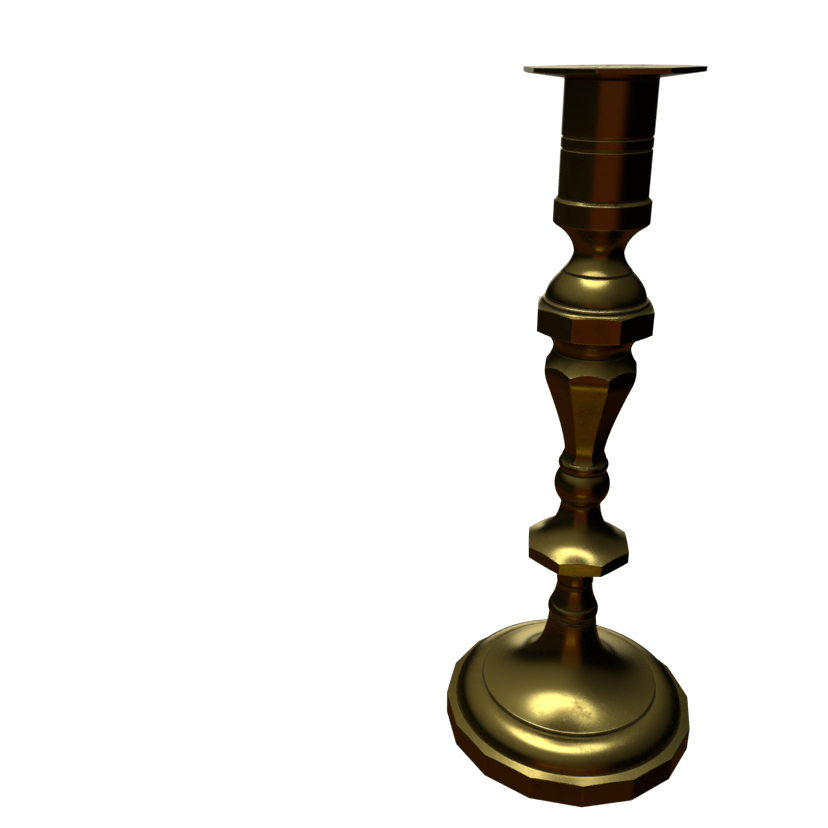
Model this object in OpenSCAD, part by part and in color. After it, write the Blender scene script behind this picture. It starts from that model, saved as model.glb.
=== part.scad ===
// Faceted brass candlestick with a deep socket and a push-up candle ejector.
// Cast and turned brass pieces stand one on another. Each has a spigot below
// that screws into the piece under it, and a bore for the ejector rod.
// +Z is up and z = 0 is the table. A flat of the baluster faces -Y.

/* [Foot] */
// Width of the sixteen-sided rim, corner to corner
rim_d = 89.4; // [84:0.2:110]
// Height of the rim's upright faces at the corners
rim_h = 9.1; // [5:0.1:10.5]
// Turn of the rim against the baluster's facets
rim_turn = -1.5; // [-11:0.5:11]
// Width of the sloping land inside the rim's corners
land_w = 3.8; // [2.5:0.1:6]
// Rise of the land from the corners to its inner crease
land_rise = 0.8; // [0.2:0.1:2]
// Height of the ring that carries the bell
foot_ring_h = 17.6; // [15:0.1:22]
// Wall thickness of the foot ring
foot_wall = 3.0; // [2:0.1:4]
// Diameter of the disc at the bottom of the bell
disc_d = 62.4; // [56:0.2:66]
// Height of the disc's upright edge
disc_edge = 1.3; // [0.8:0.1:2]
// Height of the whole foot, from the table to the stem
foot_h = 45.3; // [37:0.1:54]
// Diameter of the bell's top
bell_top_d = 16.7; // [15:0.1:22]

/* [Stem] */
// Height of the ring knop
ring_h = 14.7; // [11:0.1:18]
// Largest diameter of the ring knop
ring_d = 17.6; // [15:0.1:22]
// Diameter of the neck under the saucer knop
low_neck_d = 12.3; // [11.5:0.1:15]
// Height of the saucer knop
saucer_h = 32; // [26:0.5:39]
// Width of the saucer knop across its flats
saucer_af = 33.4; // [28:0.2:42]
// Turn of the saucer knop against the baluster's facets
saucer_turn = 5; // [0:0.5:45]
// Height of the saucer knop's upright facets at their middles
saucer_facet_h = 4.8; // [3:0.1:6]
// Diameter of the neck above the saucer knop
mid_neck_d = 13.2; // [12:0.1:16]
// Height of the ball
ball_h = 11.2; // [9:0.1:15]
// Largest diameter of the ball
ball_d = 18.4; // [16:0.1:23]
// Height of the faceted baluster
baluster_h = 41.5; // [33:0.5:50]
// Width of the baluster's shoulder across its flats
shoulder_af = 28.2; // [26:0.2:34]
// Width of the baluster's slim end across its flats
slim_af = 12.7; // [12:0.1:15]
// Diameter of the bead at the baluster's bottom
bead_d = 16.4; // [14:0.1:20]
// Diameter of the waist where the upper knop stands on the baluster
waist_d = 24.2; // [20:0.2:27]
// Height of the upper knop
knop_h = 15.2; // [12:0.1:18]
// Width of the upper knop across its flats
knop_af = 34.7; // [31:0.1:42]
// Turn of the upper knop against the baluster's facets
knop_turn = 3; // [0:0.5:45]
// Height of the dome on the upper knop
dome_h = 9.5; // [7.5:0.1:12]
// Diameter of the dome's lower edge
dome_d = 30.6; // [26:0.2:33]

/* [Socket] */
// Height of the cup that holds the candle socket
cup_h = 22.1; // [18:0.1:27]
// Diameter of the cup's waist
cup_waist_d = 15.0; // [13:0.1:18]
// Diameter of the cup's skirt
skirt_d = 20.8; // [17:0.1:24]
// Thickness of the collar round the socket
collar_wall = 1.1; // [0.8:0.1:2]
// Depth that the socket sits in the cup
seat_depth = 4.9; // [3.5:0.1:6]
// Height of the candle socket's outer tube
socket_h = 37.6; // [28:0.2:44]
// Diameter of the hole for the candle
candle_bore_d = 22; // [18:0.2:26]
// Wall thickness of the candle socket
socket_wall = 2.15; // [1.6:0.05:3]
// Thickness of the socket's floor
floor_t = 2.5; // [1.5:0.1:4]
// Height of the upper incised line above the socket's foot
line_z = 22.0; // [16:0.1:26]
// Distance between the two incised lines
line_gap = 3.3; // [2:0.1:5]
// Depth of the incised lines
line_depth = 0.4; // [0.2:0.05:0.8]

/* [Drip pan] */
// Width of the drip pan, corner to corner
pan_d = 50.8; // [44:0.2:62]
// Thickness of the drip pan at the tube
pan_h = 2.9; // [2:0.1:5]
// Height of the pan's edge at the corners
pan_edge = 1.3; // [0.8:0.1:2.4]
// Depth of the dish in the pan's top
dish_depth = 0.5; // [0:0.1:0.8]
// Turn of the pan against the facets of the knops
pan_turn = 13.5; // [0:0.5:45]

/* [Ejector] */
// Diameter of the ejector rod
rod_d = 4.4; // [3.6:0.1:5.4]
// Clearance of the rod in its guide, on the radius
guide_gap = 0.08; // [0.03:0.01:0.1]
// Clearance of the rod in the other pieces, on the radius
bore_gap = 0.5; // [0.35:0.05:0.7]
// Clearance of the ejector cup in its pocket, on the radius
lift_gap = 0.35; // [0.3:0.05:0.6]
// Diameter of the push button
button_d = 16; // [12:0.5:20]
// Height of the push button
button_h = 5.8; // [4:0.1:8]
// Gap between the table and the button
button_lift = 2.2; // [1.5:0.1:4]

/* [Joints] */
// Wall of the slim spigots round their bore
slim_spigot_wall = 1.3; // [1:0.1:1.5]
// Wall of the stout spigots round their bore
stout_spigot_wall = 3.2; // [2.5:0.1:4]
// Length of the spigots
spigot_len = 7.5; // [5:0.5:9]
// Width of the stem nut across its flats
nut_af = 11.6; // [11:0.1:12.4]
// Height of the stem nut
nut_h = 4.0; // [3:0.1:5]

/* [Hidden] */
$fn = 96;

knop_sides = 8;
rim_sides = 16;
half_side = 180 / knop_sides;
curve_steps = 7;

// Heights of the joints, from the table up
ring_z = foot_h;
saucer_z = ring_z + ring_h;
ball_z = saucer_z + saucer_h;
baluster_z = ball_z + ball_h;
knop_z = baluster_z + baluster_h;
dome_z = knop_z + knop_h;
cup_z = dome_z + dome_h;
socket_z = cup_z + cup_h - seat_depth;
pan_z = socket_z + socket_h;

// Bores, spigots and the socket
guide_r = rod_d / 2 + guide_gap;
bore_r = rod_d / 2 + bore_gap;
slim_r = bore_r + slim_spigot_wall;
stout_r = bore_r + stout_spigot_wall;
candle_r = candle_bore_d / 2;
socket_r = candle_r + socket_wall;
pan_seat_r = candle_r + socket_wall / 2;
collar_r = socket_r + collar_wall;

// Foot
crease_r = rim_d / 2 - land_w;
crease_z = rim_h + land_rise;
disc_r = disc_d / 2;
ring_top_r = disc_r + 0.5;
bell_seat_r = disc_r - 2.4;
bell_seat_depth = foot_wall;
bell_lip = 2.3;
bell_roof = 10;
nut_z = foot_h - bell_roof - nut_h;
stem_end_z = nut_z - 0.6;
cavity_r = nut_af / 2 / cos(30) + 0.5;

// Ejector
rod_z = button_lift + 1.4;
lift_z = socket_z + floor_t + 0.2;
lift_h = 3.5;
lift_floor = 1.4;
pocket_r = candle_r - 0.4;
pocket_h = lift_h + 0.3;
rod_top = lift_z + lift_floor;

// Points along an ellipse's arc from angle a0 to a1, centred on (cx, cy)
function arc(cx, cy, rx, ry, a0, a1) =
    [for (i = [0:curve_steps]) let (a = a0 + (a1 - a0) * i / curve_steps)
        [cx + rx * cos(a), cy + ry * sin(a)]];

// Points along a curve that leaves p0 towards p1 and reaches p2 from p1
function curve(p0, p1, p2) =
    [for (i = [0:curve_steps]) let (t = i / curve_steps)
        (1 - t) * (1 - t) * p0 + 2 * t * (1 - t) * p1 + t * t * p2];

// The same with two guide points, for the long flare of the bell
function flare(p0, p1, p2, p3) =
    [for (i = [0:2 * curve_steps]) let (t = i / (2 * curve_steps), s = 1 - t)
        s * s * s * p0 + 3 * s * s * t * p1 + 3 * s * t * t * p2 + t * t * t * p3];

// A side view reflected to the other side of the axis, in reverse order
function reflected(pts) = [for (i = [len(pts) - 1:-1:0]) [-pts[i][0], pts[i][1]]];

// A solid turned from the outline between the axis and the points, bottom first
module turned(z, pts) {
    first = pts[0];
    last = pts[len(pts) - 1];
    translate([0, 0, z])
        rotate_extrude()
            polygon(concat([[0, first[1]]], pts, [[0, last[1]]]));
}

// A round hole from z up, h high
module bore(z, h, r) {
    translate([0, 0, z]) cylinder(h = h, r = r);
}

// A spigot below the joint at z, rooted in the piece above it
module spigot(z, r, len = spigot_len) {
    bore(z - len, len + 1, r);
}

// The socket for the spigot of the piece above the joint at z
module spigot_hole(z, r) {
    bore(z - spigot_len, spigot_len + 1, r);
}

// The rod's way through a piece, with room to spare at both ends
module rod_bore(z, h, r = bore_r) {
    bore(z - 1, h + 2, r);
}

// An upright prism with flats towards the axes, af across its flats
module flats(z, h, af) {
    translate([0, 0, z])
        rotate(half_side)
            linear_extrude(h)
                circle(r = af / 2 / cos(half_side), $fn = knop_sides);
}

// ---- Socket and pan ----

// Octagonal plate whose underside rises to its edge
module drip_pan() {
    dish_r = pan_d / 2 * cos(half_side) - 1.6;
    root_r = socket_r + 0.5;
    outside = pan_d / 2 + 0.5;
    rise = (pan_h - pan_edge) / (pan_d / 2 - root_r);
    color("#a89248")
    difference() {
        intersection() {
            turned(pan_z, [
                [root_r, 0],
                [outside, rise * (outside - root_r)],
                [outside, pan_h],
                [dish_r, pan_h],
                [pan_seat_r + 1.2, pan_h - dish_depth]
            ]);
            rotate(pan_turn)
                flats(pan_z - 1, pan_h + 2, pan_d * cos(half_side));
        }
        bore(pan_z - 1, pan_h + 2, pan_seat_r);
    }
}

// Tube for the candle with a floor, a pocket for the ejector cup and two incised lines
module candle_socket() {
    lines = [line_z - line_gap, line_z];
    color("#4a2a0c")
    difference() {
        union() {
            bore(socket_z, socket_h, socket_r);
            bore(socket_z, socket_h + pan_h - dish_depth, pan_seat_r);
        }
        bore(socket_z + floor_t, pocket_h + 1, pocket_r);
        bore(socket_z + floor_t + pocket_h, socket_h + pan_h, candle_r);
        rod_bore(socket_z, floor_t);
        for (z = lines)
            translate([0, 0, socket_z + z])
                rotate_extrude()
                    polygon([
                        [socket_r - line_depth, 0],
                        [socket_r + line_depth, -line_depth],
                        [socket_r + line_depth, line_depth]
                    ]);
    }
}

// Collar and waisted neck that carry the socket
module socket_cup() {
    collar_low = cup_h - seat_depth - 2.4;
    waist_h = cup_h * 0.27;
    color("#5a3a12")
    difference() {
        union() {
            turned(cup_z, concat(
                [[skirt_d / 2, 0]],
                curve([skirt_d / 2, 0.6], [cup_waist_d / 2 + 0.4, 3], [cup_waist_d / 2, waist_h]),
                curve([cup_waist_d / 2, waist_h], [cup_waist_d / 2 + 0.7, waist_h + 5],
                      [collar_r - 0.6, collar_low - 0.6]),
                [[collar_r, collar_low]],
                [[collar_r, cup_h - 0.9]],
                [[socket_r + 0.1, cup_h]]
            ));
            spigot(cup_z, slim_r);
        }
        bore(socket_z, seat_depth + 1, socket_r);
        rod_bore(cup_z - spigot_len, cup_h + spigot_len);
    }
}

// ---- Knops and baluster ----

// Dome that the neck stands on, with a step at its foot
module shoulder_dome() {
    edge_r = dome_d / 2;
    neck_r = skirt_d / 2 + 0.2;
    color("#c9b45a")
    difference() {
        union() {
            turned(dome_z, concat(
                [[edge_r + 1.0, 0]],
                [[edge_r + 1.1, 0.5]],
                [[edge_r + 0.8, 1.1]],
                [[edge_r - 0.1, 1.4]],
                [[edge_r - 0.1, 1.7]],
                curve([edge_r, 2.0], [edge_r - 0.6, 5.6], [neck_r, dome_h])
            ));
            spigot(dome_z, stout_r);
        }
        spigot_hole(cup_z, slim_r);
        rod_bore(dome_z - spigot_len, dome_h + spigot_len);
    }
}

// Octagonal knop, turned above and below its flats
module upper_knop() {
    corner_r = knop_af / 2 / cos(half_side);
    color("#7a5210")
    difference() {
        union() {
            intersection() {
                turned(knop_z, concat(
                    [[waist_d / 2, 0]],
                    curve([waist_d / 2, 1.2], [waist_d / 2 + 1.2, 5.9], [corner_r + 0.1, 7.0]),
                    [[corner_r + 0.1, knop_h - 1.1]],
                    curve([corner_r, knop_h - 1.05], [knop_af / 2, knop_h - 0.9],
                          [knop_af / 2 - 0.5, knop_h - 0.4]),
                    [[knop_af / 2 - 0.9, knop_h]]
                ));
                rotate(knop_turn) flats(knop_z, knop_h, knop_af);
            }
            spigot(knop_z, stout_r);
        }
        spigot_hole(dome_z, stout_r);
        rod_bore(knop_z - spigot_len, knop_h + spigot_len);
    }
}

// Baluster with eight hollow facets between a turned cove and a turned bead
module baluster() {
    top_r = shoulder_af / 2;
    slim = slim_af / 2;
    corner_r = top_r / cos(half_side);
    shoulder = baluster_h - 5.7;
    slim_h = 6.9;
    facet = concat(
        [[bead_d / 2 + 1.2, 0]],
        curve([bead_d / 2 + 0.4, 1.9], [slim + 0.1, 4.3], [slim, slim_h]),
        curve([slim, slim_h], [slim + 0.4, shoulder - 22.4], [top_r - 1, shoulder - 5.1]),
        curve([top_r - 1, shoulder - 5.1], [top_r - 0.1, shoulder - 2.8], [top_r, shoulder - 0.6]),
        [[top_r, baluster_h]]
    );
    color("#6e5a22")
    difference() {
        union() {
            intersection() {
                turned(baluster_z, concat(
                    [[bead_d / 2 - 0.5, 0]],
                    arc(bead_d / 2 - 1.6, 1.8, 1.6, 2.0, -30, 60),
                    [[corner_r + 0.3, shoulder - 10]],
                    [[corner_r + 0.3, shoulder]],
                    curve([corner_r, shoulder + 0.1], [waist_d / 2 + 0.8, shoulder + 2.6],
                          [waist_d / 2, baluster_h])
                ));
                for_facets() facet_prism(facet);
            }
            spigot(baluster_z, slim_r);
        }
        spigot_hole(knop_z, stout_r);
        rod_bore(baluster_z - spigot_len, baluster_h + spigot_len);
    }
}

// What the children have in common at each of the four facing directions
module for_facets() {
    intersection_for (i = [0:knop_sides / 2 - 1])
        rotate(i * 2 * half_side) children();
}

// A side view with hollow flanks, drawn out level across the baluster
module facet_prism(side) {
    translate([0, 0, baluster_z])
        rotate([90, 0, 0])
            linear_extrude(shoulder_af * 2, center = true)
                polygon(concat(side, reflected(side)));
}

// Ball between the baluster and the saucer knop
module ball_knop() {
    ball_r = ball_d / 2;
    color("#5c4a1a")
    difference() {
        union() {
            turned(ball_z, concat(
                [[ball_r - 1.9, 0]],
                arc(0, ball_h * 0.49, ball_r, ball_h * 0.78, -37, 37),
                [[ball_r - 1.7, ball_h]]
            ));
            spigot(ball_z, slim_r);
        }
        spigot_hole(baluster_z, slim_r);
        rod_bore(ball_z - spigot_len, ball_h + spigot_len);
    }
}

// Octagonal saucer with a turned hollow top
module saucer_knop() {
    corner_r = saucer_af / 2 / cos(half_side);
    edge_z = 11.2;
    low_r = low_neck_d / 2;
    neck_r = mid_neck_d / 2;
    color("#b8a24e")
    difference() {
        union() {
            intersection() {
                turned(saucer_z, concat(
                    [[low_r + 0.3, 0]],
                    [[low_r + 0.1, 0.6]],
                    curve([low_r, 3.6], [low_r + 1, edge_z - 0.8], [corner_r + 0.1, edge_z + 0.3]),
                    [[corner_r + 0.1, edge_z + saucer_facet_h - 0.6]],
                    [[saucer_af / 2, edge_z + saucer_facet_h]],
                    curve([saucer_af / 2 - 0.8, edge_z + saucer_facet_h + 0.3],
                          [neck_r + 1.2, edge_z + saucer_facet_h + 3.6], [neck_r, saucer_h - 2.2]),
                    [[neck_r + 0.1, saucer_h - 1.0]],
                    [[neck_r + 0.5, saucer_h]]
                ));
                rotate(saucer_turn) flats(saucer_z, saucer_h, saucer_af);
            }
            spigot(saucer_z, slim_r);
        }
        spigot_hole(ball_z, slim_r);
        rod_bore(saucer_z - spigot_len, saucer_h + spigot_len);
    }
}

// Turned ring with the stem's long spigot, which also guides the rod
module ring_knop() {
    ring_r = ring_d / 2;
    neck_r = low_neck_d / 2;
    stem_len = ring_z - stem_end_z;
    color("#3a220a")
    difference() {
        union() {
            turned(ring_z, concat(
                [[bell_top_d / 2 - 0.2, 0]],
                arc(ring_r - 2.2, 3.1, 2.2, 3.1, -62, 60),
                curve([ring_r - 0.9, 6.1], [neck_r + 0.3, ring_h - 5.5], [neck_r, ring_h - 1.8]),
                [[neck_r + 0.1, ring_h]]
            ));
            spigot(ring_z, slim_r, stem_len);
        }
        spigot_hole(saucer_z, slim_r);
        rod_bore(stem_end_z, stem_len + ring_h, guide_r);
    }
}

// ---- Foot ----

// Flared bell and its disc, hollow below
module foot_bell() {
    top_r = bell_top_d / 2;
    disc_z = foot_ring_h + disc_edge;
    roof_z = foot_h - bell_roof;
    inner_r = bell_seat_r - bell_lip;
    color("#9c8540")
    difference() {
        union() {
            turned(0, concat(
                [[disc_r, foot_ring_h]],
                flare([disc_r, disc_z], [disc_r * 0.545, disc_z + 2.4],
                      [top_r + 0.9, foot_h - 16], [top_r, foot_h])
            ));
            spigot(foot_ring_h, bell_seat_r, bell_seat_depth);
        }
        turned(0, concat(
            [[inner_r, foot_ring_h - bell_seat_depth - 1]],
            flare([inner_r, disc_z - 2], [disc_r * 0.48, disc_z + 1.4],
                  [cavity_r + 0.8, roof_z - 9], [cavity_r, roof_z])
        ));
        bore(roof_z - 1, bell_roof + 2, slim_r);
    }
}

// Heavy sixteen-sided ring that stands on the table
module foot_rim() {
    corners = [for (i = [0:rim_sides - 1])
        let (a = 360 * (i + 0.5) / rim_sides + rim_turn)
            rim_d / 2 * [cos(a), sin(a)]];
    outside = crease_r + land_w + 1;
    land_slope = land_rise / land_w;
    inside_r = rim_d / 2 * cos(180 / rim_sides) - foot_wall - 0.8;
    color("#8a7432")
    difference() {
        intersection() {
            turned(0, concat(
                [[outside, 0]],
                [[outside, rim_h - land_slope]],
                [[crease_r, crease_z]],
                arc(ring_top_r, crease_z, crease_r - ring_top_r, foot_ring_h - crease_z, 0, 90)
            ));
            linear_extrude(foot_ring_h) polygon(corners);
        }
        turned(0, concat(
            [[inside_r, -1]],
            [[inside_r, crease_z - 3.4]],
            arc(ring_top_r, crease_z - 1.2, crease_r - foot_wall - ring_top_r,
                foot_ring_h - foot_wall - crease_z + 1.2, 0, 90),
            [[bell_seat_r, foot_ring_h - foot_wall]],
            [[bell_seat_r, foot_ring_h + 1]]
        ));
    }
}

// Nut that draws the bell up to the stem
module stem_nut() {
    color("#b08d3c")
    difference() {
        translate([0, 0, nut_z])
            cylinder(h = nut_h, r = nut_af / 2 / cos(30), $fn = 6);
        bore(nut_z - 1, nut_h + 2, slim_r);
    }
}

// ---- Ejector ----

// Rod that runs from the button to the ejector cup
module ejector_rod() {
    color("#8f8f8a")
    bore(rod_z, rod_top - rod_z, rod_d / 2);
}

// Dished plate that the candle stands on
module ejector_cup() {
    plate_r = pocket_r - lift_gap;
    color("#a8893a")
    difference() {
        turned(lift_z, [
            [plate_r - 0.6, 0],
            [plate_r, 0.6],
            [plate_r, lift_h],
            [plate_r - 0.9, lift_h],
            [plate_r - 1.9, lift_floor + 0.3],
            [rod_d / 2 + 1, lift_floor]
        ]);
        bore(lift_z - 1, lift_floor + 1, rod_d / 2);
    }
}

// Round button that a finger pushes from below
module ejector_button() {
    button_r = button_d / 2;
    color("#a8893a")
    difference() {
        turned(button_lift, [
            [button_r - 2.4, 0],
            [button_r - 0.6, 0.5],
            [button_r, 1.4],
            [button_r, button_h - 1],
            [button_r - 0.8, button_h]
        ]);
        bore(rod_z, button_h, rod_d / 2);
    }
}

drip_pan();
candle_socket();
socket_cup();
shoulder_dome();
upper_knop();
baluster();
ball_knop();
saucer_knop();
ring_knop();
foot_bell();
foot_rim();
stem_nut();
ejector_rod();
ejector_cup();
ejector_button();
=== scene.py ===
import bpy
import bmesh
import math
from mathutils import Matrix, Vector


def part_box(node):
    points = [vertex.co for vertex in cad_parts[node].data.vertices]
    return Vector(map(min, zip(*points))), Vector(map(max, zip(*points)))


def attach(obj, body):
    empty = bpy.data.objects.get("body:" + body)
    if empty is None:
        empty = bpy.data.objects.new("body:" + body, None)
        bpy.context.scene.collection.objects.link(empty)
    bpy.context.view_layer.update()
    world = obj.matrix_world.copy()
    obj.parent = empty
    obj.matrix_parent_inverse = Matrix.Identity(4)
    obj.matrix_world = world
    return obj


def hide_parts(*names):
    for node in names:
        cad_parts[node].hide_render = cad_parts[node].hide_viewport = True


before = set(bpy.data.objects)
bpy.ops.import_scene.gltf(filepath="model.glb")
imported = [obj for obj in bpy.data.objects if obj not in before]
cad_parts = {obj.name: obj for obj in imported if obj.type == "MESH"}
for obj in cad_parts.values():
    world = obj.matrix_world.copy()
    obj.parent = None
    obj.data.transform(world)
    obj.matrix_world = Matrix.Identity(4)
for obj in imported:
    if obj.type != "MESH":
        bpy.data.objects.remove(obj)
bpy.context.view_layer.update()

MM = 0.001
IN_MM = 1000
TURNED_STEPS = 144
CURVE_STEPS = 14
CORNER_STEPS = 4
SAME_POINT = 0.004  # points nearer than this are one point, in mm

# ---- Camera ----

CAMERA_PLACE = (0, -269.44 * MM, 232.43 * MM)
CAMERA_YAW = math.radians(12.0)
CAMERA_PITCH = math.radians(22.585)
CAMERA_ROLL = math.radians(-0.478)
CAMERA_LENS = 38.36
CAMERA_SENSOR = 36


def place_camera():
    """A camera close in front, looking down at the candlestick."""
    data = bpy.data.cameras.new("camera")
    data.lens = CAMERA_LENS
    data.sensor_width = CAMERA_SENSOR
    data.clip_start = 10 * MM
    camera = bpy.data.objects.new("camera", data)
    bpy.context.scene.collection.objects.link(camera)
    camera.matrix_world = (
        Matrix.Translation(CAMERA_PLACE)
        @ Matrix.Rotation(CAMERA_YAW, 4, "Z")
        @ Matrix.Rotation(math.pi / 2 - CAMERA_PITCH, 4, "X")
        @ Matrix.Rotation(CAMERA_ROLL, 4, "Z")
    )
    bpy.context.scene.camera = camera


place_camera()

# ---- Side views ----


def arc(centre_r, centre_z, radius_r, radius_z, start, end):
    """Points along an ellipse's arc, angles in degrees."""
    points = []
    for i in range(CURVE_STEPS + 1):
        angle = math.radians(start + (end - start) * i / CURVE_STEPS)
        points.append((centre_r + radius_r * math.cos(angle), centre_z + radius_z * math.sin(angle)))
    return points


def curve(start, guide, end):
    """Points along a curve that leaves start towards guide and reaches end from it."""
    points = []
    for i in range(CURVE_STEPS + 1):
        t = i / CURVE_STEPS
        weights = ((1 - t) ** 2, 2 * t * (1 - t), t * t)
        pulls = list(zip(weights, (start, guide, end)))
        points.append(tuple(sum(w * p[k] for w, p in pulls) for k in (0, 1)))
    return points


def flare(start, leave, arrive, end):
    """The same with two guide points, for the long flare of the bell."""
    points = []
    for i in range(2 * CURVE_STEPS + 1):
        t = i / (2 * CURVE_STEPS)
        weights = ((1 - t) ** 3, 3 * t * (1 - t) ** 2, 3 * t * t * (1 - t), t ** 3)
        pulls = list(zip(weights, (start, leave, arrive, end)))
        points.append(tuple(sum(w * p[k] for w, p in pulls) for k in (0, 1)))
    return points


EASE_SHARE = 0.45  # the most of a straight that one rounded corner takes


def eased(points, sharp=20, ease=0.25):
    """Rounds every corner of a closed side view that turns by more than sharp degrees, off the axis."""
    clean = [p for i, p in enumerate(points) if math.dist(p, points[i - 1]) > SAME_POINT]
    result = []
    for i, corner in enumerate(clean):
        before = Vector(clean[i - 1])
        after = Vector(clean[(i + 1) % len(clean)])
        here = Vector(corner)
        back, ahead = before - here, after - here
        turn = math.degrees(math.pi - back.angle(ahead))
        on_axis = here.x < SAME_POINT
        if on_axis or turn < sharp:
            result.append(tuple(here))
            continue
        reach_back = min(ease, back.length * EASE_SHARE)
        reach_ahead = min(ease, ahead.length * EASE_SHARE)
        first = here + back.normalized() * reach_back
        last = here + ahead.normalized() * reach_ahead
        for k in range(CORNER_STEPS + 1):
            t = k / CORNER_STEPS
            result.append(tuple(first * (1 - t) ** 2 + here * 2 * t * (1 - t) + last * t * t))
    return result


def lifted(points, z):
    """A side view moved up by z."""
    return [(p[0], p[1] + z) for p in points]


# ---- Making pieces ----


def deselect():
    """Leaves edit mode and selects nothing."""
    if bpy.context.mode != "OBJECT":
        bpy.ops.object.mode_set(mode="OBJECT")
    bpy.ops.object.select_all(action="DESELECT")


def pick(piece):
    """Selects one piece and nothing else."""
    deselect()
    piece.select_set(True)
    bpy.context.view_layer.objects.active = piece


def edit(piece):
    """Opens one piece in edit mode with nothing selected."""
    pick(piece)
    bpy.ops.object.mode_set(mode="EDIT")
    bpy.ops.mesh.select_mode(type="VERT")
    bpy.ops.mesh.select_all(action="DESELECT")


def turned(name, outline, steps=TURNED_STEPS, closed=True):
    """Draws a side view point by point and turns it round the upright axis."""
    deselect()
    bpy.ops.mesh.primitive_plane_add(size=MM)
    piece = bpy.context.object
    piece.name = name
    piece.data.name = name
    edit(piece)
    bpy.ops.mesh.select_all(action="SELECT")
    bpy.ops.mesh.merge(type="CENTER")
    path = list(outline) + ([outline[0]] if closed else [])
    bpy.ops.transform.translate(value=(path[0][0] * MM, 0, path[0][1] * MM))
    here = path[0]
    for there in path[1:]:
        step = ((there[0] - here[0]) * MM, 0, (there[1] - here[1]) * MM)
        bpy.ops.mesh.extrude_vertices_move(TRANSFORM_OT_translate={"value": step})
        here = there
    bpy.ops.mesh.select_all(action="SELECT")
    bpy.ops.mesh.spin(steps=steps, angle=2 * math.pi, center=(0, 0, 0), axis=(0, 0, 1))
    bpy.ops.mesh.select_all(action="SELECT")
    bpy.ops.mesh.remove_doubles(threshold=SAME_POINT * MM)
    bpy.ops.mesh.normals_make_consistent(inside=False)
    bpy.ops.object.mode_set(mode="OBJECT")
    return piece


# Two chamfers round each flat: width and height of each, in mm
FINE_CHAMFERS = ((0.12, 0.065), (0.16, 0.035))
HEAVY_CHAMFERS = ((0.18, 0.10), (0.22, 0.05))
CUT_TOLERANCE = 0.0005
CUT_MERGE = 0.005
FLAT_SLACK = 0.01  # how far a flat's face may lie off its plane
SQUARE_ON = 0.9999  # the cosine from which a face counts as facing square to a flat
SAME_PLANE = math.radians(0.5)


def select_flats(piece, normals, low):
    """Selects the faces that lie in any of the flats."""
    bpy.ops.mesh.select_all(action="DESELECT")
    mesh = bmesh.from_edit_mesh(piece.data)
    for face in mesh.faces:
        centre = face.calc_center_median()
        facing = [n for n in normals if face.normal.dot(n) > SQUARE_ON]
        face.select_set(any(abs(centre.dot(n) - low) < FLAT_SLACK * MM for n in facing))
    bmesh.update_edit_mesh(piece.data)


def cut_flats(piece, sides, apothem, turn=0.0, chamfers=FINE_CHAMFERS):
    """Cuts flats round a turned piece, then raises each by two narrow chamfers."""
    edit(piece)
    normals = []
    for side in range(sides):
        angle = math.radians(turn) + side * 2 * math.pi / sides
        normals.append(Vector((math.cos(angle), math.sin(angle), 0)))
    low = (apothem - sum(depth for width, depth in chamfers)) * MM
    for normal in normals:
        bpy.ops.mesh.select_all(action="SELECT")
        bpy.ops.mesh.bisect(
            plane_co=normal * low,
            plane_no=normal,
            use_fill=True,
            clear_outer=True,
            threshold=CUT_TOLERANCE * MM,
        )
    bpy.ops.mesh.select_all(action="SELECT")
    bpy.ops.mesh.remove_doubles(threshold=CUT_MERGE * MM)
    bpy.ops.mesh.select_mode(type="FACE")
    select_flats(piece, normals, low)
    bpy.ops.mesh.dissolve_limited(angle_limit=SAME_PLANE, use_dissolve_boundaries=False)
    select_flats(piece, normals, low)
    for width, depth in chamfers:
        bpy.ops.mesh.inset(thickness=width * MM, depth=depth * MM, use_individual=True)
    bpy.ops.object.mode_set(mode="OBJECT")


def apply_modifiers(piece):
    """Applies every modifier of a piece in order."""
    pick(piece)
    for modifier in list(piece.modifiers):
        bpy.ops.object.modifier_apply(modifier=modifier.name)


WEAR_HIGHLIGHT_WIDTH = 0.3
WEAR_HIGHLIGHT_TURN = math.radians(9)
LONG_EDGE = 0.4  # an edge counts as long from this share of the face's longest
SMOOTH_TURN = math.radians(34)


def mark_wear_and_highlight_edges(piece):
    """Marks the narrow faces along outer edges, where handling keeps the brass bright and the material paints
    a highlight.
    """
    mesh = bmesh.new()
    mesh.from_mesh(piece.data)
    worn = []
    for face in mesh.faces:
        longest = max(edge.calc_length() for edge in face.edges)
        narrow = face.calc_area() / longest < WEAR_HIGHLIGHT_WIDTH * MM
        turns = [e.calc_face_angle_signed(0) for e in face.edges if e.calc_length() > LONG_EDGE * longest]
        worn.append(1.0 if narrow and turns and max(turns) > WEAR_HIGHLIGHT_TURN else 0.0)
    mesh.free()
    attribute = piece.data.attributes.new("worn", "FLOAT", "FACE")
    attribute.data.foreach_set("value", worn)


def finish_piece(piece, material, node, body):
    """Shades a piece, gives it its finish and hangs it on its body."""
    pick(piece)
    mark_wear_and_highlight_edges(piece)
    bpy.ops.object.shade_smooth_by_angle(angle=SMOOTH_TURN)
    weighted = piece.modifiers.new("even shading", "WEIGHTED_NORMAL")
    weighted.keep_sharp = True
    weighted.weight = 50
    apply_modifiers(piece)
    piece.data.materials.clear()
    piece.data.materials.append(material)
    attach(piece, body)
    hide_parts(node)


# ---- Materials ----


class Wire:
    """A value in a node tree; sums on it add Math nodes."""

    def __init__(self, finish, socket):
        self.finish = finish
        self.socket = socket

    def __add__(self, other):
        return self.finish.math("ADD", self, other)

    def __radd__(self, other):
        return self.finish.math("ADD", other, self)

    def __sub__(self, other):
        return self.finish.math("SUBTRACT", self, other)

    def __rsub__(self, other):
        return self.finish.math("SUBTRACT", other, self)

    def __mul__(self, other):
        return self.finish.math("MULTIPLY", self, other)

    def __rmul__(self, other):
        return self.finish.math("MULTIPLY", other, self)

    def __truediv__(self, other):
        return self.finish.math("DIVIDE", self, other)

    def __rtruediv__(self, other):
        return self.finish.math("DIVIDE", other, self)


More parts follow.
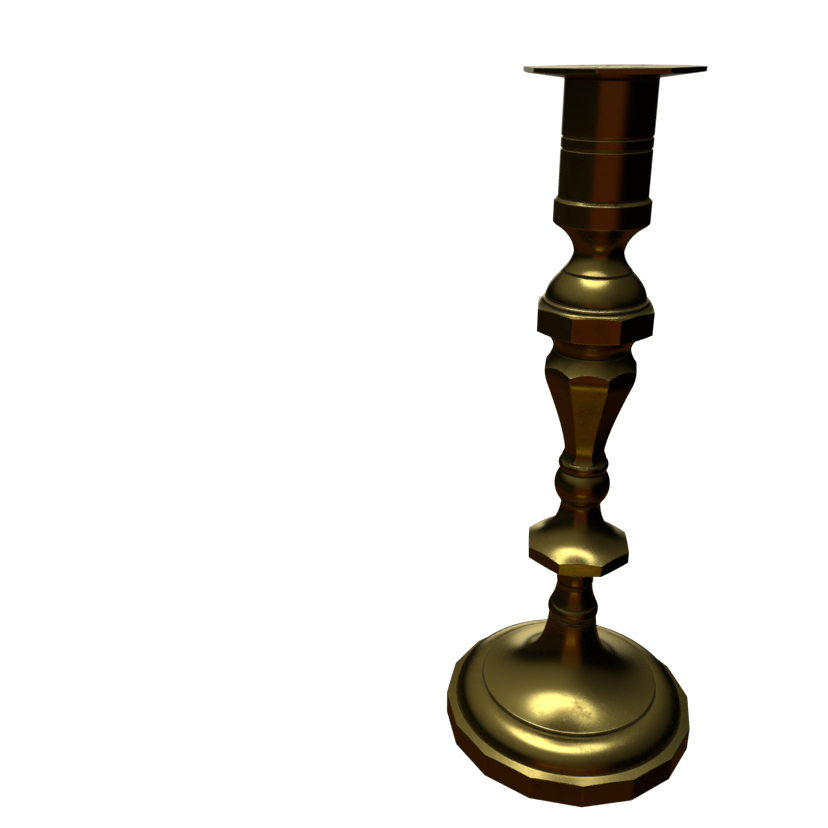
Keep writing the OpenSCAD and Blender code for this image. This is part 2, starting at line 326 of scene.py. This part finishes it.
class Finish:
    """A node tree and the few ways in which nodes are added to it."""

    def __init__(self, tree):
        self.tree = tree
        tree.nodes.clear()

    def node(self, kind, settings=None, sockets=None, result=0):
        made = self.tree.nodes.new(kind)
        for name, value in (settings or {}).items():
            if name == "stops":
                self.set_stops(made.color_ramp, value)
            else:
                setattr(made, name, value)
        for key, value in (sockets or {}).items():
            if isinstance(value, Wire):
                self.tree.links.new(value.socket, made.inputs[key])
            else:
                made.inputs[key].default_value = value
        return Wire(self, made.outputs[result]) if made.outputs else made

    def set_stops(self, ramp, stops):
        while len(ramp.elements) < len(stops):
            ramp.elements.new(0.5)
        for element, (position, tint) in zip(ramp.elements, stops):
            element.position = position
            element.color = tint

    def math(self, operation, *values):
        return self.node("ShaderNodeMath", {"operation": operation}, dict(enumerate(values)))

    def band(self, value, start, end):
        """0 at start, 1 at end, eased between and held beyond."""
        settings = {"interpolation_type": "SMOOTHSTEP"}
        return self.node("ShaderNodeMapRange", settings, {"Value": value, "From Min": start, "From Max": end})

    def blend(self, amount, below, above):
        settings = {"data_type": "RGBA", "blend_type": "MIX", "clamp_factor": True}
        return self.node("ShaderNodeMix", settings, {0: amount, 6: below, 7: above}, result=2)

    def clouds(self, place, scale, detail, roughness, warp=0.0):
        values = {"Vector": place, "Scale": scale, "Detail": detail, "Roughness": roughness}
        return self.node("ShaderNodeTexNoise", {}, {**values, "Distortion": warp})

    def stretched(self, place, scale, turn=(0, 0, 0)):
        return self.node("ShaderNodeMapping", {}, {"Vector": place, "Rotation": turn, "Scale": scale})

    def along_axes(self, vector):
        """The x, y and z of a vector as three values."""
        first = self.node("ShaderNodeSeparateXYZ", {}, {0: vector})
        return [Wire(self, output) for output in first.socket.node.outputs]

    def surface(self, values):
        """Ends a material with one surface of the given sockets."""
        surface = self.node("ShaderNodeBsdfPrincipled", {}, values)
        self.node("ShaderNodeOutputMaterial", {}, {"Surface": surface})


def new_material(name):
    """An empty material and the finish that fills it."""
    material = bpy.data.materials.new(name)
    material.use_nodes = True
    return material, Finish(material.node_tree)


def colour(red, green, blue):
    return (red, green, blue, 1)


# BRASS_BRIGHT brightens the scratches and paints the highlight along worn edges
BRASS_BRIGHT = colour(0.93, 0.83, 0.52)
BRASS_BODY = colour(0.66, 0.54, 0.19)
BRASS_BROWN = colour(0.36, 0.22, 0.06)
BRASS_OLIVE = colour(0.44, 0.39, 0.14)
# Near-black, for pits, grime in the joints and painted shade in seams and creases
GRIME_AND_SHADE = colour(0.030, 0.020, 0.010)
STEEL_PALE = colour(0.42, 0.41, 0.39)
STEEL_DULL = colour(0.22, 0.19, 0.16)
RUST = colour(0.16, 0.07, 0.03)
PAPER_DULL = colour(0.90, 0.90, 0.89)
PAPER_PALE = colour(0.94, 0.94, 0.93)
LATHE_LINES = 1700  # how close together the lathe's lines are


def aged_brass(name, seams, tarnish):
    """Old satin brass: lathe lines, tarnish clouds, pits, scratches, worn edges with a painted highlight, and
    seams darkened with grime and painted shade.
    """
    material, f = new_material(name)
    place = f.node("ShaderNodeTexCoord", result="Object")
    x, y, z = f.along_axes(place)
    reach = f.math("SQRT", x * x + y * y)

    clouds = f.clouds(place, 42, 5, 0.6, 0.6)
    blotches = f.clouds(place, 150, 4, 0.6, 0.3)
    mottle = f.clouds(place, 620, 3, 0.6)
    specks = f.node("ShaderNodeTexVoronoi", {"feature": "F1"}, {"Vector": place, "Scale": 330.0})
    scratch_a = f.clouds(f.stretched(place, (60, 900, 2600), (0.3, 0.5, 0.2)), 1.0, 2, 0.5)
    scratch_b = f.clouds(f.stretched(place, (2300, 90, 700), (0.2, 0.9, 1.1)), 1.0, 2, 0.5)
    rings = f.node("ShaderNodeCombineXYZ", {}, {0: reach * LATHE_LINES, 1: 0.0, 2: z * LATHE_LINES})
    lathe = f.clouds(rings, 1.0, 2, 0.6)

    patina = f.band(clouds * 0.65 + blotches * 0.35, 0.62 - 0.22 * tarnish, 0.74 - 0.14 * tarnish)
    brown = f.band(blotches * 0.6 + mottle * 0.4, 0.50, 0.66) * f.band(clouds, 0.35, 0.6)
    pits = f.band(mottle, 0.66, 0.74) * f.band(specks, 0.35, 0.12)
    scratches = f.math("MAXIMUM", f.band(scratch_a, 0.68, 0.76), f.band(scratch_b, 0.70, 0.78))
    # Worn edges: real edge wear with a painted highlight laid along them
    worn = f.node("ShaderNodeAttribute", {"attribute_name": "worn"}, result="Fac")
    polish_and_highlight = worn * f.band(blotches, 0.30, 0.62)

    # Pits, then dark rings round the listed seams: grime in the joints and painted shade in the seams and
    # creases
    grime_and_shade = pits * 0.5
    for seam_r, seam_z, width in seams:
        out = reach * IN_MM - seam_r
        up = z * IN_MM - seam_z
        near = f.math("SQRT", out * out + up * up) + (blotches - 0.5) * width * 1.2
        grime_and_shade = f.math("MAXIMUM", grime_and_shade, f.band(near, width, width * 0.35))

    tone = f.blend(patina * 0.75, BRASS_BODY, BRASS_OLIVE)
    tone = f.blend(brown * (0.35 + 0.4 * tarnish), tone, BRASS_BROWN)
    tone = f.blend(f.band(lathe, 0.35, 0.7) * 0.06, tone, BRASS_BROWN)
    tone = f.blend(scratches * 0.35, tone, BRASS_BRIGHT)
    tone = f.blend(pits * 0.8, tone, GRIME_AND_SHADE)
    # Painted highlight, with real wear, along the worn edges
    tone = f.blend(polish_and_highlight * 0.9, tone, BRASS_BRIGHT)
    # Darkens the seams: grime with painted shade
    tone = f.blend(grime_and_shade * 0.85, tone, GRIME_AND_SHADE)

    rough = 0.17 + clouds * 0.10 + patina * 0.08 + brown * 0.06 + (mottle - 0.5) * 0.08
    rough = rough + polish_and_highlight * 0.04 + grime_and_shade * 0.3 + pits * 0.2
    metal = 1 - f.math("MAXIMUM", grime_and_shade * 0.6, pits * 0.5)

    relief = (lathe - 0.5) * 0.05 + (mottle - 0.5) * 0.16 + (blotches - 0.5) * 0.5
    relief = relief - pits * 0.8 - scratches * 0.12
    bump = f.node("ShaderNodeBump", {}, {"Strength": 0.35, "Distance": 0.00012, "Height": relief})
    f.surface({"Base Color": tone, "Roughness": rough, "Metallic": metal, "Normal": bump})
    return material


def rod_steel(name):
    """Drawn steel, dull and finely scored along the rod."""
    material, f = new_material(name)
    place = f.node("ShaderNodeTexCoord", result="Object")
    drawn = f.clouds(f.stretched(place, (3000, 3000, 90)), 1.0, 3, 0.6)
    stain = f.clouds(place, 120, 4, 0.6)
    spots = f.band(f.clouds(place, 900, 3, 0.6), 0.62, 0.75)
    tone = f.blend(f.band(stain, 0.4, 0.7), STEEL_PALE, STEEL_DULL)
    tone = f.blend(spots * 0.6, tone, RUST)
    bump = f.node("ShaderNodeBump", {}, {"Strength": 0.3, "Distance": 0.00008, "Height": drawn - spots * 0.5})
    rough = 0.3 + drawn * 0.15 + spots * 0.3
    f.surface({"Base Color": tone, "Roughness": rough, "Metallic": 0.9, "Normal": bump})
    return material


# ---- Sizes ----

ROD_R = 2.2
GUIDE_R = 2.28
BORE_R = 2.7
SLIM_R = 4.0
STOUT_R = 5.9
CANDLE_R = 11.0
SOCKET_R = 13.15
PAN_SEAT_R = 12.075
COLLAR_R = 14.25
SPIGOT = 7.5


def top_of(node):
    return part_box(node)[1].z / MM


def foot_of(node):
    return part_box(node)[0].z / MM


RING_Z = top_of("foot_bell")
SAUCER_Z = top_of("ring_knop")
BALL_Z = top_of("saucer_knop")
BALUSTER_Z = top_of("ball_knop")
KNOP_Z = top_of("baluster")
DOME_Z = top_of("upper_knop")
CUP_Z = top_of("shoulder_dome")
CUP_TOP = top_of("socket_cup")
SOCKET_Z = foot_of("candle_socket")
PAN_Z = foot_of("drip_pan")
TOP_Z = top_of("drip_pan")
HALF_SIDE = math.pi / 8  # half the turn from one flat to the next, of eight
RIM_SIDES = 16
RIM_HALF_SIDE = math.pi / RIM_SIDES
NUT_SIDES = 6
NUT_AF = 11.6
NUT_HALF_SIDE = math.pi / NUT_SIDES
OUTSIDE = 0.9  # how far a turned corner stands past the flats that are cut from it


def stem_piece(name, z, height, sides, root_r, hole_r, bore_r=BORE_R, spigot=SPIGOT):
    """A turned piece with a spigot below, a hole for the next spigot above and a bore for the rod.

    sides is the side view from the joint below to the joint above.
    """
    outline = [(bore_r, -spigot), (root_r, -spigot), (root_r, 0)] + sides
    outline += [(hole_r, height), (hole_r, height - SPIGOT), (bore_r, height - SPIGOT)]
    return turned(name, eased(lifted(outline, z)))


# ---- Socket and pan ----

PAN_H = 2.9
PAN_EDGE = 1.3
PAN_R = 25.4
PAN_TURN = 13.5
DISH = 0.5


def make_drip_pan():
    """Eight-sided plate, thin at its edge, with a shallow dish round the candle hole."""
    root_r = SOCKET_R + 0.5
    outside = PAN_R + 0.5
    rise = (PAN_H - PAN_EDGE) / (PAN_R - root_r)
    dish_r = PAN_R * math.cos(HALF_SIDE) - 1.6
    dish = curve((dish_r, PAN_H), (dish_r - 2.2, PAN_H - DISH * 0.9), (PAN_SEAT_R + 1.2, PAN_H - DISH))
    outline = [(PAN_SEAT_R, 0), (root_r, 0), (outside, rise * (outside - root_r)), (outside, PAN_H)]
    outline += dish + [(PAN_SEAT_R, PAN_H - DISH)]
    pan = turned("pan_plate", eased(lifted(outline, PAN_Z), sharp=8, ease=0.3))
    cut_flats(pan, 8, PAN_R * math.cos(HALF_SIDE), turn=PAN_TURN)
    return pan


LINE_Z = 22.0
LINE_GAP = 3.3
LINE_DEPTH = 0.4


def make_candle_socket():
    """Tube with two incised lines, a rolled lip in the pan and a pocket for the ejector cup."""
    floor_t = 2.5
    pocket_r, pocket_top = 10.6, 6.3
    height = TOP_Z - SOCKET_Z
    socket_h = PAN_Z - SOCKET_Z
    outline = [(BORE_R, 0), (SOCKET_R, 0)]
    for line in (LINE_Z - LINE_GAP, LINE_Z):
        outline += [
            (SOCKET_R, line - LINE_DEPTH),
            (SOCKET_R - LINE_DEPTH, line - 0.05),
            (SOCKET_R - LINE_DEPTH, line + 0.05),
            (SOCKET_R, line + LINE_DEPTH),
        ]
    outline += [(SOCKET_R, socket_h), (PAN_SEAT_R, socket_h)]
    outline += [(PAN_SEAT_R, height - DISH), (CANDLE_R, height - DISH)]
    outline += [(CANDLE_R, pocket_top), (pocket_r, pocket_top), (pocket_r, floor_t), (BORE_R, floor_t)]
    return turned("socket_tube", eased(lifted(outline, SOCKET_Z), ease=0.2))


def make_socket_cup():
    """Collar and waisted neck under the socket."""
    height = CUP_TOP - CUP_Z
    skirt_r, waist_r = 10.4, 7.5
    seat = CUP_TOP - SOCKET_Z
    collar_low = height - seat - 2.4
    waist_h = height * 0.27
    sides = [(skirt_r, 0)]
    sides += curve((skirt_r, 0.6), (waist_r + 0.4, 3), (waist_r, waist_h))
    sides += curve((waist_r, waist_h), (waist_r + 0.7, waist_h + 5), (COLLAR_R - 0.6, collar_low - 0.6))
    sides += [(COLLAR_R, collar_low), (COLLAR_R, height - 0.9), (SOCKET_R + 0.1, height), (SOCKET_R, height)]
    sides += [(SOCKET_R, height - seat), (BORE_R, height - seat)]
    outline = [(BORE_R, -SPIGOT), (SLIM_R, -SPIGOT), (SLIM_R, 0)] + sides
    return turned("socket_cup_turned", eased(lifted(outline, CUP_Z)))


# ---- Knops and baluster ----


def make_shoulder_dome():
    """Dome with a beaded step at its foot."""
    height = CUP_Z - DOME_Z
    edge_r = 15.3
    neck_r = 10.6
    sides = [(edge_r + 1.0, 0), (edge_r + 1.1, 0.5), (edge_r + 0.8, 1.1)]
    sides += [(edge_r - 0.1, 1.4), (edge_r - 0.1, 1.7)]
    sides += curve((edge_r, 2.0), (edge_r - 0.6, 5.6), (neck_r, height))
    return stem_piece("dome_turned", DOME_Z, height, sides, STOUT_R, SLIM_R)


KNOP_AF = 34.7
KNOP_TURN = 3


def make_upper_knop():
    """Eight-sided knop, turned above and below its flats."""
    height = DOME_Z - KNOP_Z
    waist_r = 12.1
    half_af = KNOP_AF / 2
    corner_r = half_af / math.cos(HALF_SIDE)
    sides = [(waist_r, 0)] + curve((waist_r, 1.2), (waist_r + 1.2, 5.9), (corner_r + 0.1, 7.0))
    sides += [(corner_r + OUTSIDE, 7.17), (corner_r + OUTSIDE, height - 1.15)]
    sides += curve((corner_r, height - 1.05), (half_af, height - 0.9), (half_af - 0.5, height - 0.4))
    sides += [(half_af - 0.9, height)]
    knop = stem_piece("upper_knop_cut", KNOP_Z, height, sides, STOUT_R, STOUT_R)
    cut_flats(knop, 8, half_af, turn=KNOP_TURN)
    return knop


SHOULDER_AF = 28.2
SLIM_AF = 12.7
BEAD_R = 8.2
WAIST_R = 12.1


def make_baluster():
    """Baluster with eight hollow facets, trimmed to a turned cove above and a bead below."""
    height = KNOP_Z - BALUSTER_Z
    top_r, slim = SHOULDER_AF / 2, SLIM_AF / 2
    corner_r = top_r / math.cos(HALF_SIDE)
    shoulder = height - 5.7
    slim_h = 6.9
    sides = [(BEAD_R - 0.5, 0)] + arc(BEAD_R - 1.6, 1.8, 1.6, 2.0, -30, 60)
    sides += [(corner_r + 0.3, shoulder - 10), (corner_r + 0.3, shoulder)]
    sides += curve((corner_r, shoulder + 0.1), (WAIST_R + 0.8, shoulder + 2.6), (WAIST_R, height))
    body = stem_piece("baluster_cut", BALUSTER_Z, height, sides, SLIM_R, STOUT_R)

    facet = [(0, -SPIGOT - 1), (BEAD_R + 1.2, -SPIGOT - 1), (BEAD_R + 1.2, 0)]
    facet += curve((BEAD_R + 0.4, 1.9), (slim + 0.1, 4.3), (slim, slim_h))
    facet += curve((slim, slim_h), (slim + 0.4, shoulder - 22.4), (top_r - 1, shoulder - 5.1))
    facet += curve((top_r - 1, shoulder - 5.1), (top_r - 0.1, shoulder - 2.8), (top_r, shoulder - 0.6))
    facet += [(top_r, height + 1), (0, height + 1)]
    widened = [(r / math.cos(HALF_SIDE), z) for r, z in facet]
    clean = [p for i, p in enumerate(widened) if i == 0 or math.dist(p, widened[i - 1]) > SAME_POINT]
    column = turned("facet_column", lifted(clean, BALUSTER_Z), steps=8, closed=False)
    edit(column)
    bpy.ops.mesh.select_all(action="SELECT")
    bpy.ops.transform.rotate(value=HALF_SIDE, orient_axis="Z", center_override=(0, 0, 0))
    bpy.ops.mesh.select_mode(type="EDGE")
    bpy.ops.mesh.select_all(action="DESELECT")
    mesh = bmesh.from_edit_mesh(column.data)
    for edge in mesh.edges:
        a, b = (v.co for v in edge.verts)
        same_side = abs(a.to_2d().cross(b.to_2d())) < 0.001 * MM * MM
        upright = abs(a.z - b.z) > 0.05 * MM
        edge.select_set(same_side and upright)
    bmesh.update_edit_mesh(column.data)
    bpy.ops.mesh.bevel(offset=0.28 * MM, segments=3, profile=0.5, affect="EDGES")
    bpy.ops.mesh.select_all(action="SELECT")
    bpy.ops.mesh.normals_make_consistent(inside=False)
    bpy.ops.object.mode_set(mode="OBJECT")

    trim = body.modifiers.new("trim", "BOOLEAN")
    trim.operation = "INTERSECT"
    trim.solver = "EXACT"
    trim.object = column
    apply_modifiers(body)
    bpy.data.objects.remove(column)
    return body


def make_ball_knop():
    """Flattened ball between two fillets."""
    height = BALUSTER_Z - BALL_Z
    ball_r = 9.2
    sides = [(ball_r - 1.9, 0)]
    sides += arc(0, height * 0.49, ball_r, height * 0.78, -37, 37)
    sides += [(ball_r - 1.7, height)]
    return stem_piece("ball_turned", BALL_Z, height, sides, SLIM_R, SLIM_R)


SAUCER_AF = 33.4
SAUCER_TURN = 5


def make_saucer_knop():
    """Eight-sided saucer with a turned hollow top."""
    height = BALL_Z - SAUCER_Z
    half_af = SAUCER_AF / 2
    corner_r = half_af / math.cos(HALF_SIDE)
    edge_z, facet_h = 11.2, 4.8
    low_r, neck_r = 6.15, 6.6
    rim_z = edge_z + facet_h
    sides = [(low_r + 0.3, 0), (low_r + 0.1, 0.6)]
    sides += curve((low_r, 3.6), (low_r + 1, edge_z - 0.8), (corner_r + 0.1, edge_z + 0.3))
    sides += [(corner_r + OUTSIDE, edge_z + 0.38), (corner_r + OUTSIDE, rim_z - 0.93), (half_af, rim_z)]
    sides += curve((half_af - 0.8, rim_z + 0.3), (neck_r + 1.2, rim_z + 3.6), (neck_r, height - 2.2))
    sides += [(neck_r + 0.1, height - 1.0), (neck_r + 0.5, height)]
    knop = stem_piece("saucer_cut", SAUCER_Z, height, sides, SLIM_R, SLIM_R)
    cut_flats(knop, 8, half_af, turn=SAUCER_TURN)
    return knop


def make_ring_knop():
    """Turned ring on the stem's long spigot."""
    height = SAUCER_Z - RING_Z
    ring_r, neck_r = 8.8, 6.15
    sides = [(8.15, 0)] + arc(ring_r - 2.2, 3.1, 2.2, 3.1, -62, 60)
    sides += curve((ring_r - 0.9, 6.1), (neck_r + 0.3, height - 5.5), (neck_r, height - 1.8))
    sides += [(neck_r + 0.1, height)]
    long_spigot = RING_Z - foot_of("ring_knop")
    return stem_piece("ring_knop_turned", RING_Z, height, sides, SLIM_R, SLIM_R, GUIDE_R, long_spigot)


# ---- Foot ----

FOOT_RING_Z = top_of("foot_rim")
DISC_R = 31.2
BELL_SEAT_R = 28.8
FOOT_WALL = 3.0


def make_foot_bell():
    """Flared bell on its flat disc, hollow below."""
    foot_h = RING_Z
    top_r = 8.35
    disc_z = FOOT_RING_Z + 1.3
    roof_z = foot_h - 10
    inner_r = BELL_SEAT_R - 2.3
    cavity_r = NUT_AF / 2 / math.cos(NUT_HALF_SIDE) + 0.5
    low = FOOT_RING_Z - FOOT_WALL
    outline = [(inner_r, low), (BELL_SEAT_R, low), (BELL_SEAT_R, FOOT_RING_Z), (DISC_R, FOOT_RING_Z)]
    leave, arrive = (DISC_R * 0.545, disc_z + 2.4), (top_r + 0.9, foot_h - 16)
    outline += flare((DISC_R, disc_z), leave, arrive, (top_r, foot_h))
    outline += [(SLIM_R, foot_h), (SLIM_R, roof_z)]
    leave, arrive = (DISC_R * 0.48, disc_z + 1.4), (cavity_r + 0.8, roof_z - 9)
    inside = flare((inner_r, disc_z - 2), leave, arrive, (cavity_r, roof_z))
    outline += inside[::-1]
    return turned("bell_turned", eased(outline, ease=0.3))


RIM_R = 44.7
RIM_H = 9.1
RIM_TURN = -1.5
LAND_RISE = 0.8
LAND_W = 3.8


def make_foot_rim():
    """Heavy sixteen-sided ring, with a rounded shoulder inside a narrow sloping land."""
    crease_r = RIM_R - LAND_W
    crease_z = RIM_H + LAND_RISE
    ring_top_r = DISC_R + 0.5
    outside = RIM_R + 1
    slope = LAND_RISE / LAND_W
    inside_r = RIM_R * math.cos(RIM_HALF_SIDE) - FOOT_WALL - 0.8
    inner_rise = FOOT_RING_Z - FOOT_WALL - crease_z + 1.2
    outline = [(outside, 0), (outside, RIM_H - slope), (crease_r, crease_z)]
    outline += arc(ring_top_r, crease_z, crease_r - ring_top_r, FOOT_RING_Z - crease_z, 0, 90)
    outline += [(BELL_SEAT_R, FOOT_RING_Z), (BELL_SEAT_R, FOOT_RING_Z - FOOT_WALL)]
    outline += arc(ring_top_r, crease_z - 1.2, crease_r - FOOT_WALL - ring_top_r, inner_rise, 90, 0)
    outline += [(inside_r, crease_z - 3.4), (inside_r, 0)]
    rim = turned("rim_cut", eased(outline, ease=0.3))
    cut_flats(rim, RIM_SIDES, RIM_R * math.cos(RIM_HALF_SIDE), RIM_TURN, HEAVY_CHAMFERS)
    return rim


def make_stem_nut():
    """Six-sided nut with turned chamfers on both faces."""
    low, high = foot_of("stem_nut"), top_of("stem_nut")
    half_af = NUT_AF / 2
    corner_r = half_af / math.cos(NUT_HALF_SIDE)
    outline = [(SLIM_R + 0.4, low), (half_af, low), (corner_r + 0.1, low + 0.6), (corner_r + 0.1, high - 0.6)]
    outline += [(half_af, high), (SLIM_R + 0.4, high), (SLIM_R, high - 0.4), (SLIM_R, low + 0.4)]
    nut = turned("stem_nut_cut", eased(outline, ease=0.1), steps=72)
    cut_flats(nut, NUT_SIDES, half_af)
    return nut


# ---- Ejector ----


def make_ejector_rod():
    """Round rod with chamfered ends."""
    low, high = foot_of("ejector_rod"), top_of("ejector_rod")
    outline = [(0, low), (ROD_R - 0.4, low), (ROD_R, low + 0.4)]
    outline += [(ROD_R, high - 0.2), (ROD_R - 0.2, high), (0, high)]
    return turned("rod_drawn", eased(outline, ease=0.1), steps=48, closed=False)


def make_ejector_cup():
    """Dished plate that the candle stands on."""
    low, high = foot_of("ejector_cup"), top_of("ejector_cup")
    plate_r = 10.25
    dish_z = low + 1.4
    outline = [(ROD_R, low), (plate_r - 0.6, low), (plate_r, low + 0.6), (plate_r, high)]
    outline += [(plate_r - 0.9, high), (plate_r - 1.9, dish_z + 0.3), (ROD_R + 1, dish_z), (ROD_R, dish_z)]
    return turned("lift_cup_turned", eased(outline, ease=0.15), steps=96)


def make_ejector_button():
    """Round button with a hole for the rod in its top."""
    low, high = foot_of("ejector_button"), top_of("ejector_button")
    rod_z = foot_of("ejector_rod")
    button_r = 8.0
    outline = [(0, low), (button_r - 2.4, low), (button_r - 0.6, low + 0.5), (button_r, low + 1.4)]
    outline += [(button_r, high - 1), (button_r - 0.8, high), (ROD_R, high), (ROD_R, rod_z), (0, rod_z)]
    return turned("button_turned", eased(outline, ease=0.2), steps=96, closed=False)


# Each piece: CAD node, maker, body, seams darkened with grime and painted shade (radius, height, width),
# tarnish
BRASS_PIECES = (
    ("drip_pan", make_drip_pan, "candlestick", [(SOCKET_R, PAN_Z, 0.8)], 0.3),
    ("candle_socket", make_candle_socket, "candlestick",
     [(SOCKET_R, CUP_TOP, 0.6), (SOCKET_R, PAN_Z, 0.8)], 0.5),
    ("socket_cup", make_socket_cup, "candlestick", [(10.6, CUP_Z, 0.6), (SOCKET_R, CUP_TOP, 0.35)], 0.4),
    ("shoulder_dome", make_shoulder_dome, "candlestick",
     [(15.2, DOME_Z + 1.6, 0.5), (16.5, DOME_Z, 0.5), (10.6, CUP_Z, 0.6)], 0.3),
    ("upper_knop", make_upper_knop, "candlestick", [(16.5, DOME_Z, 0.6), (WAIST_R, KNOP_Z, 0.6)], 0.6),
    ("baluster", make_baluster, "candlestick", [(WAIST_R, KNOP_Z, 0.5), (8.0, BALUSTER_Z, 0.6)], 0.5),
    ("ball_knop", make_ball_knop, "candlestick", [(7.3, BALL_Z, 0.7), (7.6, BALUSTER_Z, 0.7)], 0.4),
    ("saucer_knop", make_saucer_knop, "candlestick", [(6.4, SAUCER_Z, 0.7), (7.2, BALL_Z, 0.7)], 0.3),
    # The ring at RING_Z + 6.0 lies on the ring's crease, not a joint: painted shade that darkens the ring
    # knop
    ("ring_knop", make_ring_knop, "candlestick",
     [(8.2, RING_Z, 0.7), (6.3, SAUCER_Z, 0.7), (8.0, RING_Z + 6.0, 0.5)], 0.7),
    ("foot_bell", make_foot_bell, "candlestick", [(8.35, RING_Z, 0.6), (DISC_R, FOOT_RING_Z, 0.7)], 0.3),
    ("foot_rim", make_foot_rim, "candlestick",
     [(DISC_R, FOOT_RING_Z, 0.8), (RIM_R - LAND_W, RIM_H + LAND_RISE, 0.5)], 0.5),
    ("stem_nut", make_stem_nut, "candlestick", [], 0.6),
    ("ejector_cup", make_ejector_cup, "ejector", [], 0.5),
    ("ejector_button", make_ejector_button, "ejector", [], 0.4),
)

EJECTOR_BRASS = ("stem_nut", "ejector_cup", "ejector_button")

for node, make, body, seams, tarnish in BRASS_PIECES:
    finish_name = "brass_" + node
    slot = "ejector_brass" if node in EJECTOR_BRASS else "aged_brass"
    finish_piece(make(), aged_brass(finish_name, seams, tarnish), node, body)
finish_piece(make_ejector_rod(), rod_steel("steel_rod"), "ejector_rod", "ejector")

# ---- Stage and light ----

STAGE_R = 1600
STAGE_FLAT_R = 480
STAGE_BEND_R = 500
STAGE_STEPS = 16
STAGE_H = 2400
STAGE_GLOW = 1.05


def make_stage():
    """A pale floor whose edge curves up all round."""
    outline = [(0, 0), (STAGE_FLAT_R, 0), (STAGE_R, 0)]
    for i in range(1, STAGE_STEPS + 1):
        angle = math.pi / 2 * i / STAGE_STEPS
        outline.append((STAGE_R + STAGE_BEND_R * math.sin(angle), STAGE_BEND_R * (1 - math.cos(angle))))
    outline.append((STAGE_R + STAGE_BEND_R, STAGE_H))
    stage = turned("pale_stage", outline, steps=64, closed=False)
    edit(stage)
    bpy.ops.mesh.select_all(action="SELECT")
    bpy.ops.mesh.flip_normals()
    pick(stage)
    bpy.ops.object.shade_smooth()
    material, f = new_material("pale_paper")
    fibre = f.clouds(f.node("ShaderNodeTexCoord", result="Object"), 300, 4, 0.6)
    paper = f.blend(fibre, PAPER_DULL, PAPER_PALE)
    values = {"Base Color": paper, "Roughness": 0.9}
    f.surface({**values, "Emission Color": paper, "Emission Strength": STAGE_GLOW})
    stage.data.materials.append(material)
    stage.visible_glossy = False
    stage.visible_diffuse = False


def area_light(name, place, target, size, energy, tint, size_y=None):
    """A soft panel at a place, aimed at a target, both in metres; round unless size_y is given."""
    data = bpy.data.lights.new(name, "AREA")
    data.shape = "RECTANGLE" if size_y else "DISK"
    data.size = size
    if size_y:
        data.size_y = size_y
    data.energy = energy
    data.color = tint
    light = bpy.data.objects.new(name, data)
    bpy.context.scene.collection.objects.link(light)
    aim = Vector(target) - Vector(place)
    light.matrix_world = Matrix.Translation(place) @ aim.to_track_quat("-Z", "Y").to_matrix().to_4x4()


def light_the_scene():
    """One broad overhead panel and a small warm patch on the floor in front."""
    white, amber = (1.0, 1.0, 0.86), (1.0, 0.70, 0.05)
    patch, above_patch = (0.005, -0.142, 0.002), (0.005, -0.142, 1.0)
    area_light("overhead", (-0.065, 0.0, 1.15), (0, 0, 0.1), 0.92, 4.6, white)
    area_light("low_glow", patch, above_patch, 0.09, 0.0028, amber, size_y=0.030)


def make_world():
    """Dim room: olive ceiling, brighter on the left, red-brown in front and below, pale window behind."""
    world = bpy.data.worlds.new("room")
    bpy.context.scene.world = world
    world.use_nodes = True
    f = Finish(world.node_tree)
    x, y, z = f.along_axes(f.node("ShaderNodeTexCoord", result="Generated"))
    side = x / f.math("MAXIMUM", f.math("SQRT", x * x + y * y), 0.001)
    ahead = f.band(y, 0.05, -0.15) * f.band(side, -0.48, -0.36) * f.band(side, 0.75, 0.40)

    stops = [
        (0.0, colour(0.002, 0.0015, 0.001)),
        (0.50, colour(0.003, 0.0025, 0.0015)),
        (0.60, colour(0.012, 0.010, 0.005)),
        (0.72, colour(0.105, 0.092, 0.054)),
        (0.88, colour(0.17, 0.152, 0.09)),
        (1.0, colour(0.22, 0.20, 0.12)),
    ]
    light = f.node("ShaderNodeValToRGB", {"stops": stops}, {0: z * 0.5 + 0.5})

    # Where each part of the room shows, laid over the ceiling in this order
    right_side = f.band(x, -0.3, 0.8) * 0.72
    wall = f.band(z, -0.40, -0.22) * f.band(z, -0.02, -0.12) * f.band(x, 0.1, -0.3)
    floor = f.band(z, -0.30, -0.50) * f.band(x, 0.78, 0.5)
    dark_ahead = ahead * f.band(z, -0.42, -0.54) * f.band(z, -0.74, -0.66) * 0.7
    deep_ahead = ahead * f.band(z, -0.76, -0.86)
    low_ahead = ahead * f.band(z, 0.08, -0.03) * f.band(z, -0.55, -0.36)
    high_ahead = ahead * f.band(z, -0.02, 0.10) * f.band(z, 0.50, 0.28) * 0.8
    window = f.band(y, 0.90, 0.97) * f.band(z, -0.20, -0.02) * f.band(z, 0.44, 0.26) * f.band(x, 0.4, -0.1)
    parts = (
        (right_side, colour(0, 0, 0)),
        (wall, colour(0.014, 0.012, 0.006)),
        (floor, colour(0.036, 0.0125, 0.001)),
        (dark_ahead, colour(0.014, 0.004, 0.001)),
        (deep_ahead, colour(0.085, 0.037, 0.001)),
        (low_ahead, colour(0.075, 0.018, 0.004)),
        (high_ahead, colour(0.085, 0.048, 0.014)),
        (window, colour(0.95, 0.92, 0.80)),
    )
    for where, shade in parts:
        light = f.blend(where, light, shade)
    back = f.node("ShaderNodeBackground", {}, {"Color": light, "Strength": 1.0})
    f.node("ShaderNodeOutputWorld", {}, {"Surface": back})


make_stage()
light_the_scene()
make_world()
bpy.context.scene.view_settings.view_transform = "Standard"
